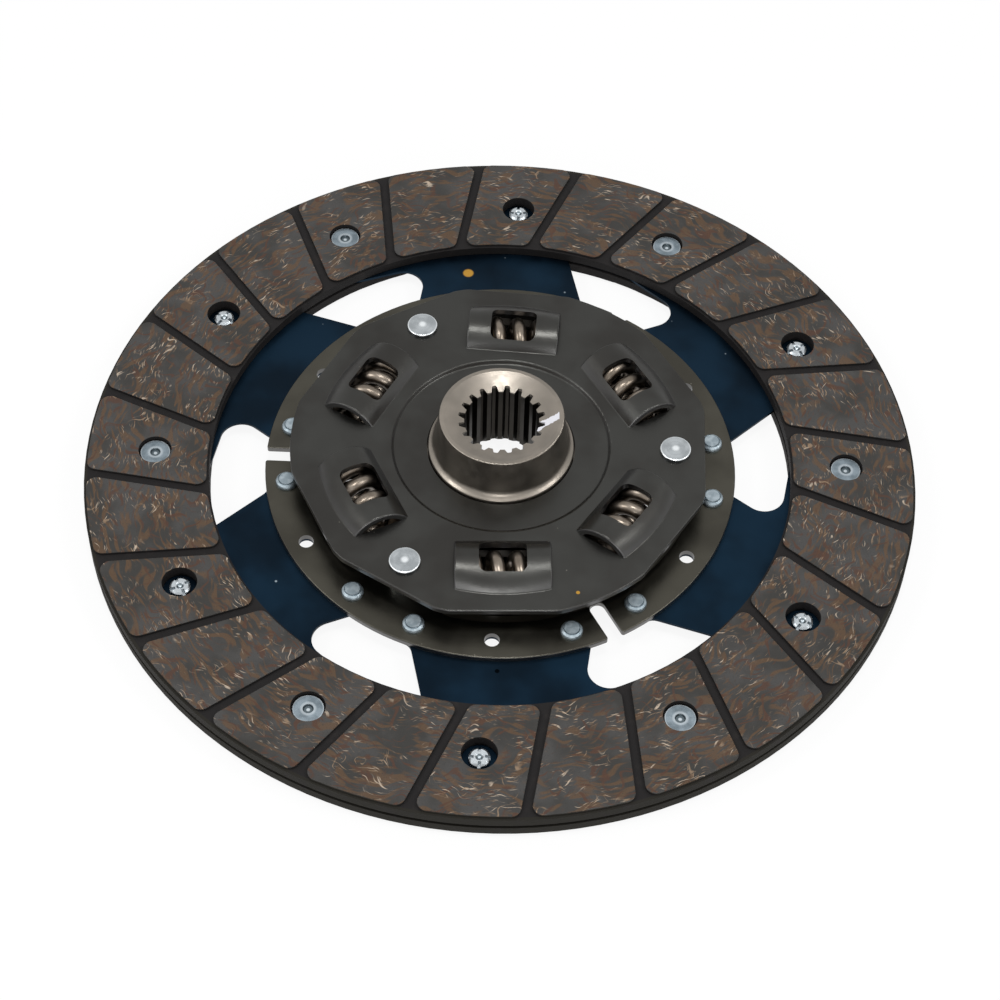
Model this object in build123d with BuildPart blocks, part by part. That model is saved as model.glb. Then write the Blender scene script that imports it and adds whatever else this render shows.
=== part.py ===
from build123d import *
import os
from math import radians, sqrt, tan

# A friction clutch disc with a spring damper. The axis of the splined hub is Z, the middle of the
# friction pack is at Z = 0, and the retainer side faces up. Sizes are in millimetres and degrees.
# The first stop pin is at angle 0.

# Friction pack
disc_radius = 100.0
pack_thickness = 7.26           # over both facings, when the disc is free
facing_gap = 1.0                # between the two facings, when the disc is free
facing_bore_radius = 70.2
pad_count = 24
groove_depth = 0.8
groove_width = 2.2
groove_offset = 22.3            # how far each slanted groove passes from the axis
groove_direction = -7.7
pad_outer_rim = 0.55            # ledge left round the outside of the pads
pad_inner_rim = 0.45
pad_corner = 2.4
pad_edge = 0.3

# Facing rivets, six through each facing
facing_rivet_circle = 83.45
facing_rivet_spread = 16.05     # each side of the middle of a cushion segment's foot
foot_middle = 45.0
rivet_floor_thickness = 1.3     # lining left under a rivet's head
rivet_head_radius = 3.7
rivet_head_height = 0.8
rivet_hollow_radius = 1.25
rivet_shank_radius = 2.0
rivet_tail_radius = 2.45
rivet_tail_height = 1.85
counterbore_radius = 4.0
tail_hole_radius = 4.15
rivet_fit = 0.05                # round the shank in its holes

# Cushion segments
segment_count = 6
segment_sheet = 0.7
segment_radius = 98.8
root_inner_radius = 47.8
root_outer_radius = 56.3
root_half_angle = 27.5
bridge_radius = 70.8            # where the foot's inner edge tucks under the facing
foot_slot = 1.5                 # between neighbouring feet
slot_edge = (30.65, 43.5)       # distance from the axis and direction of a straight edge
slant_edge = (-28.48, -36.5)
bridge_edge = (68.57, 80.1)
root_corner = 3.0
bridge_corner = 5.0
root_tip_corner = 1.0

# Side plates
plate_sheet = 1.4
disc_plate_radius = 56.8
retainer_radius = 50.5
retainer_flat = 48.9            # distance of the nine flats from the axis
retainer_corner = 6.0
plate_gap = 6.15                # between the two side plates
recess_radius = 26.0
recess_depth = 0.85
recess_slope = 0.35            # half the width of the recess's sloping wall
recess_round = 0.5
plate_bore_radius = 17.8
relief_slot_width = 3.7
relief_slot_start = 46.5
relief_slot_mouth = 0.6
rim_round = 0.3                 # rolled edge that the press leaves on an outline
cut_overrun = 0.25              # how far a cut runs on past the face it opens

# Root rivets and balance holes
root_rivet_circle = 51.8
root_rivet_spread = 20.6
root_rivet_head_radius = 2.6
root_rivet_crown_radius = 1.85
crown_groove = 0.12             # the groove that the stamp leaves round the crown
root_rivet_head_height = 1.45
root_rivet_shank_radius = 1.5
root_rivet_tail_height = 1.0
balance_hole_circle = 51.83
balance_hole_radius = 1.8

# Torsion springs and the domes over them
spring_angle = 32.8             # each side of a stop pin
spring_circle = 36.2
spring_radius = 6.5
spring_wire = 2.8
spring_length = 22.0
spring_pitch = 5.2
spring_end_play = 0.25
spring_turns = (280, 312, 325, 0, 325, 201)   # how far each spring has turned on its own axis
dome_clearance = 0.375
dome_outer_crease = 44.2
dome_window_inner = 31.2
dome_window_outer = 40.0
dome_window_half = 5.55
dome_window_corner = 1.75
crease_round = 0.5
dome_edge_round = 0.4
dome_apron = 9.2                # flat sheet carried along with a dome, each side of its crest

# Stop pins
pin_count = 3
pin_circle = 41.8
pin_body_radius = 4.2
pin_neck_radius = 2.9
pin_head_radius = 3.7
pin_head_height = 1.0
pin_head_round = 0.3
pin_crown = 0.15                # how far the middle of a head stands above its rim
pin_fit = 0.03
damper_travel = 7.0             # each way, from rest to the stop
stop_clearance = 0.3

# Hub
flange_radius = 47.8
flange_thickness = 2.6
flange_corner = 4.0             # at the mouths of the notches
lower_washer_gap = 1.3         # between the disc plate and the flange
flange_window_margin = 0.6
flange_window_corner = 0.8
hub_top = 19.9
hub_bottom = -1.9
hub_rim_radius = 14.8
hub_rim_round = 0.25
hub_land = 1.0                  # flat ring round the conical end face
hub_neck_radius = 16.1
hub_neck_level = 10.0
hub_lip_radius = 17.5
hub_lip_level = 9.2
hub_tail_radius = 16.0
hub_face_drop = 1.3             # the conical end face, from rim to spline
lip_round = 0.5
neck_round = 2.0
spline_teeth = 20
spline_major_radius = 10.35
spline_minor_radius = 8.9
spline_space = 1.0              # width of a tooth space at its root
spline_root_round = 0.3
spline_flank_angle = 76.0
spline_start = 12.3
spline_chamfer = 0.4
hub_edge = 0.5

# Friction washers, disc spring and bush
running_clearance = 0.05
washer_outer_radius = 26.5
washer_bore_radius = 18.3
friction_washer_thickness = 0.55
disc_spring_sheet = 0.45
disc_spring_inner = 18.6
disc_spring_outer = 24.6
bush_wall_clearance = 0.02
bush_bottom_lip = 0.6

# Levels
facing_top = pack_thickness / 2
facing_back = facing_gap / 2
groove_floor = facing_top - groove_depth
rivet_floor = facing_back + rivet_floor_thickness
segment_top = segment_sheet / 2
disc_plate_top = segment_top + plate_sheet
retainer_bottom = disc_plate_top + plate_gap
retainer_top = retainer_bottom + plate_sheet
spring_level = (disc_plate_top + retainer_bottom) / 2
flange_bottom = disc_plate_top + lower_washer_gap
flange_top = flange_bottom + flange_thickness
recess_bottom = retainer_bottom - recess_depth

# Angles
segment_pitch = 360 / segment_count
pin_pitch = 360 / pin_count
window_half = spring_length / 2 + spring_end_play
upper_rivet_start = foot_middle + facing_rivet_spread
lower_rivet_start = foot_middle - facing_rivet_spread
spring_angles = [
    pin * pin_pitch + side * spring_angle for pin in range(pin_count) for side in (1, -1)
]
flat_angles = [pin * pin_pitch for pin in range(pin_count)] + spring_angles
underside = Plane(origin=(0, 0, 0), x_dir=(0, 1, 0), z_dir=(0, 0, -1))

os.makedirs("parts", exist_ok=True)


def polar(radius, angle):
    """A point at a radius and an angle round the axis."""
    return Vector(radius, 0).rotate(Axis.Z, angle)


def turned(angle, height=0.0):
    """A level plane whose X runs outward at an angle."""
    return Plane(origin=(0, 0, height), x_dir=polar(1, angle), z_dir=(0, 0, 1))


def standing(angle, shift=0.0):
    """An upright plane through the axis at an angle, or beside it: X is outward and Y is up."""
    tangent = polar(1, angle + 90)
    return Plane(origin=tangent * shift, x_dir=polar(1, angle), z_dir=-tangent)


def on_edge(edge, turn, radius):
    """Where a straight edge, turned round the axis, crosses a circle."""
    offset, direction = edge
    foot = polar(offset, direction + turn - 90)
    return foot + polar(sqrt(radius**2 - offset**2), direction + turn)


def crossing(first, second, turn):
    """Where two straight edges, both turned round the axis, meet."""
    first_foot = polar(first[0], first[1] + turn - 90)
    first_way = polar(1, first[1] + turn)
    second_foot = polar(second[0], second[1] + turn - 90)
    second_normal = polar(1, second[1] + turn - 90)
    reach = (second_foot - first_foot).dot(second_normal) / first_way.dot(second_normal)
    return first_foot + first_way * reach


# Facings: a moulded friction ring with slanted grooves, counterbored for its own rivets and pierced
# over the tails of the other facing's. The lower one is the same ring turned over.
for name, side in (("upper_facing", Plane.XY), ("lower_facing", underside)):
    with BuildPart() as facing:
        with BuildSketch(side.offset(facing_back)):
            Circle(disc_radius)
            Circle(facing_bore_radius, mode=Mode.SUBTRACT)
        extrude(amount=groove_floor - facing_back)
        with BuildSketch(side.offset(groove_floor)) as pads:
            Circle(disc_radius - pad_outer_rim)
            Circle(facing_bore_radius + pad_inner_rim, mode=Mode.SUBTRACT)
            with PolarLocations(0, pad_count, start_angle=groove_direction):
                with Locations((disc_radius, groove_offset)):
                    Rectangle(disc_radius, groove_width, mode=Mode.SUBTRACT)
            fillet(pads.vertices(), pad_corner)
        extrude(amount=groove_depth)
        pad_faces = facing.faces().filter_by(Axis.Z).group_by(SortBy.DISTANCE)[-1]
        fillet([face.outer_wire().edges() for face in pad_faces], pad_edge)
        with BuildSketch(side.offset(rivet_floor)):
            with PolarLocations(facing_rivet_circle, segment_count, start_angle=upper_rivet_start):
                Circle(counterbore_radius)
        extrude(amount=pack_thickness, mode=Mode.SUBTRACT)
        with BuildSketch(side):
            with PolarLocations(facing_rivet_circle, segment_count, start_angle=upper_rivet_start):
                Circle(rivet_shank_radius + rivet_fit)
            with PolarLocations(facing_rivet_circle, segment_count, start_angle=lower_rivet_start):
                Circle(tail_hole_radius)
        extrude(amount=pack_thickness, mode=Mode.SUBTRACT)
    facing.part.label = name
    export_step(facing.part, f"parts/{name}.step")


# Facing rivets: a flat hollow head in the counterbore, a shank through lining and segment, and a
# rolled tail that has split into four petals.
with BuildPart() as facing_rivet:
    with BuildSketch(Plane.XZ):
        with BuildLine():
            Polyline(
                (0, -segment_top - rivet_tail_height * 0.6),
                (rivet_tail_radius * 0.4, -segment_top - rivet_tail_height),
                (rivet_tail_radius * 0.8, -segment_top - rivet_tail_height),
                (rivet_tail_radius, -segment_top - rivet_tail_height * 0.8),
                (rivet_tail_radius, -segment_top),
                (rivet_shank_radius, -segment_top),
                (rivet_shank_radius, rivet_floor),
                (rivet_head_radius, rivet_floor),
                (rivet_head_radius, rivet_floor + rivet_head_height * 0.8),
                (rivet_head_radius * 0.95, rivet_floor + rivet_head_height),
                (rivet_hollow_radius, rivet_floor + rivet_head_height),
                (rivet_hollow_radius * 0.8, rivet_floor + rivet_head_height * 0.4),
                (0, rivet_floor + rivet_head_height * 0.4),
                close=True,
            )
        make_face()
    revolve(axis=Axis.Z)
    with BuildSketch(Plane.XY.offset(-segment_top - rivet_tail_height)):
        with PolarLocations(rivet_tail_radius, 4):
            Rectangle(rivet_tail_radius, rivet_tail_radius * 0.3, rotation=8)
    extrude(amount=rivet_tail_height * 0.55, mode=Mode.SUBTRACT)

for name, side in (("upper_facing_rivets", Plane.XY), ("lower_facing_rivets", underside)):
    with BuildPart(side) as rivet_ring:
        with PolarLocations(facing_rivet_circle, segment_count, start_angle=upper_rivet_start):
            add(facing_rivet.part)
    rivet_ring.part.label = name
    export_step(rivet_ring.part, f"parts/{name}.step")


# Cushion segments: six spring-steel blades. Each is riveted to the disc plate by its root, widens
# past a slanted window and spreads under the facings in a foot that reaches the next blade's edge.
next_slot_edge = (slot_edge[0] + foot_slot, slot_edge[1])
for number in range(segment_count):
    with BuildPart() as segment:
        with BuildSketch(turned(number * segment_pitch, -segment_top)) as blade:
            root_middle = segment_pitch / 2
            tip_right = polar(root_inner_radius, root_middle - root_half_angle)
            shoulder_right = polar(root_outer_radius, root_middle - root_half_angle)
            neck_right = on_edge(slot_edge, 0, root_outer_radius)
            foot_right = on_edge(slot_edge, 0, segment_radius)
            foot_left = on_edge(next_slot_edge, segment_pitch, segment_radius)
            bridge_end = on_edge(next_slot_edge, segment_pitch, bridge_radius)
            bridge_start = on_edge(bridge_edge, segment_pitch, bridge_radius)
            bridge_bend = crossing(bridge_edge, slant_edge, segment_pitch)
            radial_edge = (0, root_middle + root_half_angle - segment_pitch)
            shoulder_left = crossing(slant_edge, radial_edge, segment_pitch)
            tip_left = polar(root_inner_radius, root_middle + root_half_angle)
            with BuildLine():
                Line(tip_right, shoulder_right)
                RadiusArc(shoulder_right, neck_right, -root_outer_radius)
                Line(neck_right, foot_right)
                RadiusArc(foot_right, foot_left, -segment_radius)
                Line(foot_left, bridge_end)
                RadiusArc(bridge_end, bridge_start, bridge_radius)
                Polyline(bridge_start, bridge_bend, shoulder_left, tip_left)
                RadiusArc(tip_left, tip_right, root_inner_radius)
            make_face()
            corners = blade.vertices()
            fillet(corners.sort_by_distance(neck_right)[0], root_corner)
            fillet(blade.vertices().sort_by_distance(bridge_bend)[0], bridge_corner)
            for tip in (tip_right, shoulder_right, tip_left):
                fillet(blade.vertices().sort_by_distance(tip)[0], root_tip_corner)
            for rivet in (-root_rivet_spread, root_rivet_spread):
                with PolarLocations(root_rivet_circle, 1, root_middle + rivet):
                    Circle(root_rivet_shank_radius + rivet_fit, mode=Mode.SUBTRACT)
            with PolarLocations(balance_hole_circle, 1, root_middle):
                Circle(balance_hole_radius, mode=Mode.SUBTRACT)
            for rivet in (lower_rivet_start, upper_rivet_start):
                with PolarLocations(facing_rivet_circle, 1, rivet):
                    Circle(rivet_shank_radius + rivet_fit, mode=Mode.SUBTRACT)
        extrude(amount=segment_sheet)
    segment.part.label = f"cushion_segment_{number + 1}"
    export_step(segment.part, f"parts/cushion_segment_{number + 1}.step")


# Root rivets: twelve small rivets that hold the cushion segments to the disc plate. The stamp leaves
# a flat crown on each head, with a fine groove round it.
root_rivet_angles = [
    (number + 0.5) * segment_pitch + side * root_rivet_spread
    for number in range(segment_count)
    for side in (1, -1)
]
crown_top = disc_plate_top + root_rivet_head_height
crown_foot = disc_plate_top + root_rivet_head_height * 0.85
with BuildPart() as root_rivet:
    with BuildSketch(Plane.XZ):
        with BuildLine():
            Polyline(
                (0, -segment_top - root_rivet_tail_height),
                (root_rivet_head_radius * 0.7, -segment_top - root_rivet_tail_height),
                (root_rivet_head_radius, -segment_top - root_rivet_tail_height * 0.4),
                (root_rivet_head_radius, -segment_top),
                (root_rivet_shank_radius, -segment_top),
                (root_rivet_shank_radius, disc_plate_top),
                (root_rivet_head_radius, disc_plate_top),
                (root_rivet_head_radius, disc_plate_top + root_rivet_head_height * 0.35),
                (root_rivet_head_radius * 0.94, disc_plate_top + root_rivet_head_height * 0.6),
                (root_rivet_crown_radius + crown_groove, crown_foot),
                (root_rivet_crown_radius, crown_foot - crown_groove),
                (root_rivet_crown_radius - crown_groove, crown_top),
                (0, crown_top),
                close=True,
            )
        make_face()
    revolve(axis=Axis.Z)

with BuildPart() as cushion_rivets:
    for angle in root_rivet_angles:
        with PolarLocations(root_rivet_circle, 1, angle):
            add(root_rivet.part)
cushion_rivets.part.label = "cushion_rivets"
export_step(cushion_rivets.part, "parts/cushion_rivets.step")


# Spring dome: the sheet is slit at both ends of a spring and pressed up over it. The arch follows
# the spring on its inner side, and on its outer side it leans out to a crease concentric with the
# disc. These two solids are its outside and its hollow, for the dome at angle 0.
dome_crest = spring_level + spring_radius + dome_clearance + plate_sheet
dome_height = dome_crest - retainer_top


def lean_radius(half_width, height):
    """The radius of an arc through the crest that is this wide at this depth below the crest."""
    return (half_width**2 + height**2) / (2 * height)


def arch_outline(station, skin, base):
    """The arch's section at a station along the spring, a skin's depth inside its outside."""
    inner_radius = dome_crest - spring_level
    outer_half_width = sqrt(dome_outer_crease**2 - station**2) - spring_circle
    outer_radius = lean_radius(outer_half_width, dome_height)
    crest = (spring_circle, dome_crest - skin)
    inner_half = sqrt((inner_radius - skin) ** 2 - (base - spring_level) ** 2)
    outer_half = sqrt((outer_radius - skin) ** 2 - (outer_radius - dome_crest + base) ** 2)
    inner_foot = (spring_circle - inner_half, base)
    outer_foot = (spring_circle + outer_half, base)
    with BuildLine() as outline:
        RadiusArc(inner_foot, crest, inner_radius - skin)
        RadiusArc(crest, outer_foot, outer_radius - skin)
        Line(outer_foot, inner_foot)
    return outline.edges()


def outside_section(station):
    """The arch's outside and the flat sheet beside it, with a rounded crease between them."""
    with BuildSketch(standing(0, station)) as section:
        make_face(arch_outline(station, 0, retainer_bottom))
        with Locations((spring_circle, retainer_bottom + plate_sheet / 2)):
            Rectangle(2 * dome_apron, plate_sheet)
        creases = section.vertices().group_by(Axis.Y)[-2].sort_by(Axis.X)[1:-1]
        fillet(creases, crease_round)
    return section.sketch


def hollow_section(station):
    """The arch's inside, carried down past the underside of the sheet."""
    with BuildSketch(standing(0, station)) as section:
        make_face(arch_outline(station, plate_sheet, retainer_bottom - cut_overrun))
    return section.sketch


dome_stations = (-window_half, 0, window_half)
with BuildPart() as dome_outside:
    loft([outside_section(station) for station in dome_stations])
    ends = dome_outside.faces().sort_by(Axis.Y)
    slit_edges = ends[0].edges() + ends[-1].edges()
    fillet(slit_edges.filter_by(lambda edge: edge.center().Z > retainer_top), dome_edge_round)
with BuildPart() as dome_hollow:
    loft([hollow_section(station) for station in dome_stations])


# Retainer plate: a pressed disc with a rounded recess round the hub, nine flats on its rim, six
# domes with windows, and three holes for the stop pins.
with BuildPart() as retainer_plate:
    with BuildSketch(Plane.XZ) as half_section:
        with BuildLine():
            Polyline(
                (plate_bore_radius, recess_bottom),
                (recess_radius - recess_slope, recess_bottom),
                (recess_radius + recess_slope, retainer_bottom),
                (retainer_radius, retainer_bottom),
                (retainer_radius, retainer_top),
                (recess_radius + recess_slope, retainer_top),
                (recess_radius - recess_slope, retainer_top - recess_depth),
                (plate_bore_radius, retainer_top - recess_depth),
                close=True,
            )
        make_face()
        step = half_section.vertices().filter_by_position(Axis.X, recess_radius - 1, recess_radius + 1)
        fillet(step, recess_round)
    revolve(axis=Axis.Z)
    with BuildSketch(Plane.XY) as outline:
        Circle(retainer_radius)
        for angle in flat_angles:
            with PolarLocations(retainer_flat + retainer_radius / 2, 1, angle):
                Rectangle(retainer_radius, 2 * retainer_radius, mode=Mode.SUBTRACT)
        fillet(outline.vertices(), retainer_corner)
        with PolarLocations(pin_circle, pin_count):
            Circle(pin_neck_radius + pin_fit, mode=Mode.SUBTRACT)
    extrude(amount=2 * hub_top, mode=Mode.INTERSECT)
    fillet(retainer_plate.faces().sort_by(Axis.Z)[-1].outer_wire().edges(), rim_round)
    for angle in spring_angles:
        with PolarLocations(0, 1, angle):
            add(dome_outside.part)
            add(dome_hollow.part, mode=Mode.SUBTRACT)
    with BuildSketch(Plane.XY.offset(recess_bottom)):
        for angle in spring_angles:
            with PolarLocations((dome_window_inner + dome_window_outer) / 2, 1, angle):
                RectangleRounded(
                    dome_window_outer - dome_window_inner, 2 * dome_window_half, dome_window_corner
                )
    extrude(amount=2 * plate_gap, mode=Mode.SUBTRACT)
retainer_plate.part.label = "retainer_plate"
export_step(retainer_plate.part, "parts/retainer_plate.step")


# Disc plate: the lower side plate, which carries the cushion segments on its rim. Three relief
# slots, six balance holes, twelve rivet holes, and the same six domes pressed the other way.
with BuildPart() as disc_plate:
    with BuildSketch(Plane.XY.offset(segment_top)) as outline:
        Circle(disc_plate_radius)
        slot_end = relief_slot_start + relief_slot_width / 2
        with PolarLocations(slot_end + disc_plate_radius / 2, pin_count, pin_pitch / 2):
            Rectangle(disc_plate_radius, relief_slot_width, mode=Mode.SUBTRACT)
        mouths = outline.vertices().filter_by(lambda v: Vector(v).length > slot_end + relief_slot_width)
        fillet(mouths, relief_slot_mouth)
        with PolarLocations(slot_end, pin_count, pin_pitch / 2):
            Circle(relief_slot_width / 2, mode=Mode.SUBTRACT)
        Circle(plate_bore_radius, mode=Mode.SUBTRACT)
        with PolarLocations(balance_hole_circle, segment_count, segment_pitch / 2):
            Circle(balance_hole_radius, mode=Mode.SUBTRACT)
        for angle in root_rivet_angles:
            with PolarLocations(root_rivet_circle, 1, angle):
                Circle(root_rivet_shank_radius + rivet_fit, mode=Mode.SUBTRACT)
        with PolarLocations(pin_circle, pin_count):
            Circle(pin_neck_radius + pin_fit, mode=Mode.SUBTRACT)
    extrude(amount=plate_sheet)
    fillet(disc_plate.faces().sort_by(Axis.Z)[-1].outer_wire().edges(), rim_round)
    for angle in spring_angles:
        with Locations(Location((0, 0, 2 * spring_level), (180, 0, angle))):
            add(dome_outside.part)
            add(dome_hollow.part, mode=Mode.SUBTRACT)
    with BuildSketch(Plane.XY.offset(disc_plate_top)):
        for angle in spring_angles:
            with PolarLocations((dome_window_inner + dome_window_outer) / 2, 1, angle):
                RectangleRounded(
                    dome_window_outer - dome_window_inner, 2 * dome_window_half, dome_window_corner
                )
    extrude(amount=-2 * plate_gap, mode=Mode.SUBTRACT)
disc_plate.part.label = "disc_plate"
export_step(disc_plate.part, "parts/disc_plate.step")


# Stop pins: a spacer body between the plates, with a neck through each plate and a peened head.
for number in range(pin_count):
    with BuildPart() as stop_pin:
        with BuildSketch(standing(number * pin_pitch)) as half_section:
            with BuildLine():
                Polyline(
                    (pin_circle, segment_top - pin_head_height),
                    (pin_circle + pin_head_radius, segment_top - pin_head_height + pin_crown),
                    (pin_circle + pin_head_radius, segment_top),
                    (pin_circle + pin_neck_radius, segment_top),
                    (pin_circle + pin_neck_radius, disc_plate_top),
                    (pin_circle + pin_body_radius, disc_plate_top),
                    (pin_circle + pin_body_radius, retainer_bottom),
                    (pin_circle + pin_neck_radius, retainer_bottom),
                    (pin_circle + pin_neck_radius, retainer_top),
                    (pin_circle + pin_head_radius, retainer_top),
                    (pin_circle + pin_head_radius, retainer_top + pin_head_height - pin_crown),
                    (pin_circle, retainer_top + pin_head_height),
                    close=True,
                )
            make_face()
            rims = half_section.vertices().sort_by(Axis.Y)
            fillet((rims[1], rims[-2]), pin_head_round)
        revolve(axis=Axis(polar(pin_circle, number * pin_pitch), (0, 0, 1)))
    stop_pin.part.label = f"stop_pin_{number + 1}"
    export_step(stop_pin.part, f"parts/stop_pin_{number + 1}.step")


# Torsion springs: round-wire coils that lie along the tangent, with their ends ground flat. Each has
# come to rest at its own turn about its axis.
with BuildPart() as wound_spring:
    with BuildLine() as wire_line:
        Helix(spring_pitch, spring_length, spring_radius - spring_wire / 2, (0, 0, -spring_length / 2))
    with BuildSketch(wire_line.line ^ 0):
        Circle(spring_wire / 2)
    sweep(is_frenet=True)
    for end in (Plane.XY.offset(spring_length / 2), -Plane.XY.offset(-spring_length / 2)):
        with BuildSketch(end):
            Circle(2 * spring_radius)
        extrude(amount=spring_wire, mode=Mode.SUBTRACT)

for number, angle in enumerate(sorted(turn % 360 for turn in spring_angles)):
    spring_middle = polar(spring_circle, angle) + Vector(0, 0, spring_level)
    spring_seat = Plane(spring_middle, x_dir=polar(1, angle), z_dir=polar(1, angle + 90))
    with BuildPart(spring_seat) as torsion_spring:
        with Locations(Rotation(0, 0, spring_turns[number])):
            add(wound_spring.part)
    torsion_spring.part.label = f"torsion_spring_{number + 1}"
    export_step(torsion_spring.part, f"parts/torsion_spring_{number + 1}.step")


# Hub: a turned steel barrel with a splined bore and a flange, whose windows hold the springs and
# whose notches meet the stop pins.
with BuildPart() as hub:
    spline_depth = spline_major_radius - spline_minor_radius
    face_radius = hub_rim_radius - hub_land
    cone_slope = hub_face_drop / (face_radius - spline_major_radius)
    with BuildSketch(Plane.XZ) as half_section:
        with BuildLine():
            Polyline(
                (spline_minor_radius, hub_bottom + spline_chamfer + spline_depth),
                (spline_major_radius + spline_chamfer, hub_bottom),
                (hub_tail_radius - hub_edge, hub_bottom),
                (hub_tail_radius, hub_bottom + hub_edge),
                (hub_tail_radius, flange_bottom),
                (flange_radius, flange_bottom),
                (flange_radius, flange_top),
                (hub_lip_radius, flange_top),
                (hub_lip_radius, hub_lip_level),
                (hub_neck_radius, hub_neck_level),
                (hub_rim_radius, hub_top),
                (face_radius, hub_top),
                (spline_minor_radius, hub_top - hub_face_drop - cone_slope * spline_depth),
                close=True,
            )
        make_face()
        for corner, radius in (
            ((hub_lip_radius, hub_lip_level), lip_round),
            ((hub_neck_radius, hub_neck_level), neck_round),
            ((hub_rim_radius, hub_top), hub_rim_round),
        ):
            fillet(half_section.vertices().sort_by_distance(corner)[0], radius)
    revolve(axis=Axis.Z)
    with BuildSketch(Plane.XY.offset(hub_bottom)) as spaces:
        space_depth = 2 * spline_depth
        space_mouth = spline_space + 2 * space_depth / tan(radians(spline_flank_angle))
        with PolarLocations(spline_major_radius - space_depth / 2, spline_teeth, spline_start):
            Trapezoid(space_mouth, space_depth, spline_flank_angle, rotation=-90)
        roots = spaces.vertices().filter_by(lambda v: Vector(v).length > spline_minor_radius)
        fillet(roots, spline_root_round)
    extrude(amount=2 * hub_top, mode=Mode.SUBTRACT)
    with BuildSketch(Plane.XY.offset(flange_bottom)):
        for angle in spring_angles:
            with PolarLocations(spring_circle, 1, angle):
                RectangleRounded(
                    2 * (spring_radius + flange_window_margin), 2 * window_half, flange_window_corner
                )
        notch_radius = pin_body_radius + stop_clearance
        wall_start = polar(pin_circle, damper_travel) + polar(notch_radius, damper_travel + 90)
        wall_end = wall_start + polar(flange_radius, damper_travel)
        pin_path = CenterArc((0, 0), pin_circle, -damper_travel, 2 * damper_travel, mode=Mode.PRIVATE)
        for pin in range(pin_count):
            with PolarLocations(0, 1, pin * pin_pitch):
                SlotArc(pin_path, 2 * notch_radius)
                Polygon(
                    (wall_start.X, wall_start.Y),
                    (wall_start.X, -wall_start.Y),
                    (wall_end.X, -wall_end.Y),
                    (wall_end.X, wall_end.Y),
                    align=None,
                )
    extrude(amount=flange_thickness, mode=Mode.SUBTRACT)
    mouths = hub.edges().filter_by(Axis.Z).group_by(SortBy.DISTANCE)[-1]
    fillet(mouths, flange_corner)
hub.part.label = "hub"
export_step(hub.part, "parts/hub.step")


# Friction washers above and below the flange, and the centring bush in the disc plate's bore.
with BuildPart() as lower_friction_washer:
    with BuildSketch(Plane.XY.offset(disc_plate_top)):
        Circle(washer_outer_radius)
        Circle(washer_bore_radius, mode=Mode.SUBTRACT)
    extrude(amount=lower_washer_gap - running_clearance)
lower_friction_washer.part.label = "lower_friction_washer"
export_step(lower_friction_washer.part, "parts/lower_friction_washer.step")

with BuildPart() as upper_friction_washer:
    with BuildSketch(Plane.XY.offset(flange_top + running_clearance)):
        Circle(washer_outer_radius)
        Circle(washer_bore_radius, mode=Mode.SUBTRACT)
    extrude(amount=friction_washer_thickness)
upper_friction_washer.part.label = "upper_friction_washer"
export_step(upper_friction_washer.part, "parts/upper_friction_washer.step")

with BuildPart() as centring_bush:
    with BuildSketch(Plane.XY.offset(segment_top - bush_bottom_lip)):
        Circle(plate_bore_radius - bush_wall_clearance)
        Circle(hub_tail_radius + running_clearance, mode=Mode.SUBTRACT)
    extrude(amount=flange_bottom - running_clearance - segment_top + bush_bottom_lip)
centring_bush.part.label = "centring_bush"
export_step(centring_bush.part, "parts/centring_bush.step")


# Disc spring: a shallow cone that pushes the upper friction washer down from the retainer's recess.
washer_top = flange_top + running_clearance + friction_washer_thickness
with BuildPart() as disc_spring:
    with BuildSketch(Plane.XZ):
        with BuildLine():
            Polyline(
                (disc_spring_inner, recess_bottom - disc_spring_sheet),
                (disc_spring_outer, washer_top),
                (disc_spring_outer, washer_top + disc_spring_sheet),
                (disc_spring_inner, recess_bottom),
                close=True,
            )
        make_face()
    revolve(axis=Axis.Z)
disc_spring.part.label = "disc_spring"
export_step(disc_spring.part, "parts/disc_spring.step")
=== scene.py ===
from math import radians

import bpy
import numpy as np
from mathutils import Matrix, Vector


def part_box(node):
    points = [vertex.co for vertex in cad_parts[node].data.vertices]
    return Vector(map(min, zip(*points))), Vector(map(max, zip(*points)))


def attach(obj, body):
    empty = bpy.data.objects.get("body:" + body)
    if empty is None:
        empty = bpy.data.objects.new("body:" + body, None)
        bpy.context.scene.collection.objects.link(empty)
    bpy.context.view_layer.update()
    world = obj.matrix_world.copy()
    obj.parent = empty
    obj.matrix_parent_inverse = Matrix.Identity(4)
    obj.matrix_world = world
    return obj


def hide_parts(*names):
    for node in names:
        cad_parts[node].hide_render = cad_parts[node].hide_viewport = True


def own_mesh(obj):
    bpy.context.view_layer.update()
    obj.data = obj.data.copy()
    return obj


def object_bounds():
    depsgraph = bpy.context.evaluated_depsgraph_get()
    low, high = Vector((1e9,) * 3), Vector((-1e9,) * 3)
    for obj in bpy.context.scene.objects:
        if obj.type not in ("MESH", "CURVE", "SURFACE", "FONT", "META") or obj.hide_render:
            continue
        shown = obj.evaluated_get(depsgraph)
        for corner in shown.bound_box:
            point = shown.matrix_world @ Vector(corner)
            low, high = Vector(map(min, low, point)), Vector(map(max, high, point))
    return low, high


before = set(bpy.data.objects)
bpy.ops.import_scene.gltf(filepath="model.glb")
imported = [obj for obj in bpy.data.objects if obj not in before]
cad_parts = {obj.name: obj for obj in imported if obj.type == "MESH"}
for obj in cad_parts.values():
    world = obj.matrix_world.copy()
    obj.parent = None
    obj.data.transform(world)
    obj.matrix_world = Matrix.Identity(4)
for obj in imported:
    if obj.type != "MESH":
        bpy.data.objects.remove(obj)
cad_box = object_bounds()
MM = 0.001


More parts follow.
